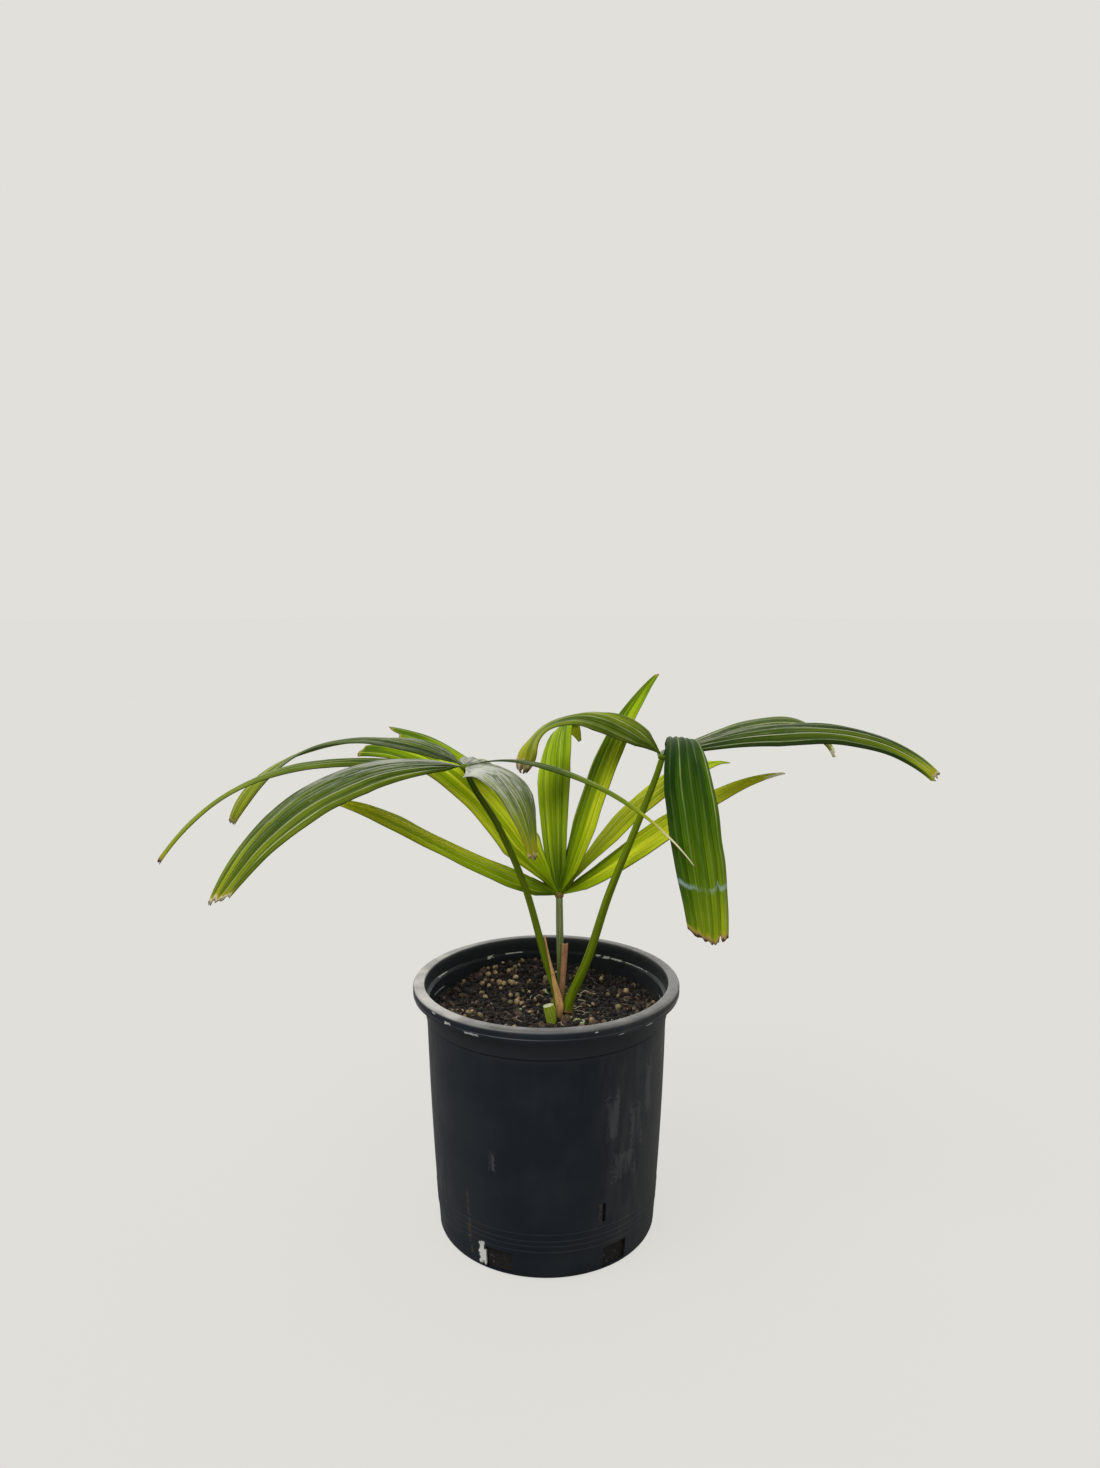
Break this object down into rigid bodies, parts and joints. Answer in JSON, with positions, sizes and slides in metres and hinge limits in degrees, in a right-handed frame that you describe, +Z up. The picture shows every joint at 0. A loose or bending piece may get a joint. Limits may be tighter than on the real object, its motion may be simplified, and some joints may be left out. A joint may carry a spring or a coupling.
{
  "type": "potted borassodendron machadonis",
  "caption": "Young palm with palmate leaves on thin arching petioles, growing from soil in a round black nursery pot with a rolled lip and drain notches.",
  "frame": {"origin": "centre of the pot's flat underside", "axes": "+Z up out of the pot, +Y away from the viewer of the picture, +X to the viewer's right along the widest spread of the leaves"},
  "size_m": [0.4732, 0.2775, 0.3441],
  "materials": {
    "pot_plastic": "satin black moulded plastic with a greyed lip",
    "potting_soil": "rough, moist bark-based mix with tan fertiliser beads",
    "green_stalk": "smooth satin green",
    "dry_leaf_base": "dry and fibrous",
    "old_leaf": "satin dark green, finely pleated",
    "new_leaf": "satin yellow-green, finely pleated"
  },
  "bodies": {
    "root": {"centre_dry_sheath": "dry_leaf_base", "centre_hub": "green_stalk", "centre_left_leaflet": "new_leaf", "centre_low_leaflet": "new_leaf", "centre_petiole": "green_stalk", "centre_right_leaflet": "new_leaf", "centre_tall_leaflet": "new_leaf", "centre_upright_leaflet_inner": "new_leaf", "centre_upright_leaflet_outer": "new_leaf", "centre_wide_leaflet_inner": "new_leaf", "centre_wide_leaflet_outer": "new_leaf", "cut_stub": "green_stalk", "left_back_leaflet": "old_leaf", "left_dry_sheath": "dry_leaf_base", "left_far_leaflet_inner": "old_leaf", "left_far_leaflet_outer": "old_leaf", "left_front_leaflet_inner": "old_leaf", "left_front_leaflet_outer": "old_leaf", "left_hub": "green_stalk", "left_middle_leaflet_inner": "old_leaf", "left_middle_leaflet_outer": "old_leaf", "left_near_leaflet_inner": "old_leaf", "left_near_leaflet_outer": "old_leaf", "left_petiole": "green_stalk", "left_thread_leaflet": "old_leaf", "pot": "pot_plastic", "right_arch_leaflet_inner": "old_leaf", "right_arch_leaflet_outer": "old_leaf", "right_back_leaflet": "old_leaf", "right_far_leaflet_inner": "old_leaf", "right_far_leaflet_outer": "old_leaf", "right_front_leaflet_inner": "old_leaf", "right_front_leaflet_outer": "old_leaf", "right_hub": "green_stalk", "right_petiole": "green_stalk", "right_side_leaflet_inner": "old_leaf", "right_side_leaflet_outer": "old_leaf", "soil": "potting_soil", "stem_base": "green_stalk"}
  },
  "joints": []
}
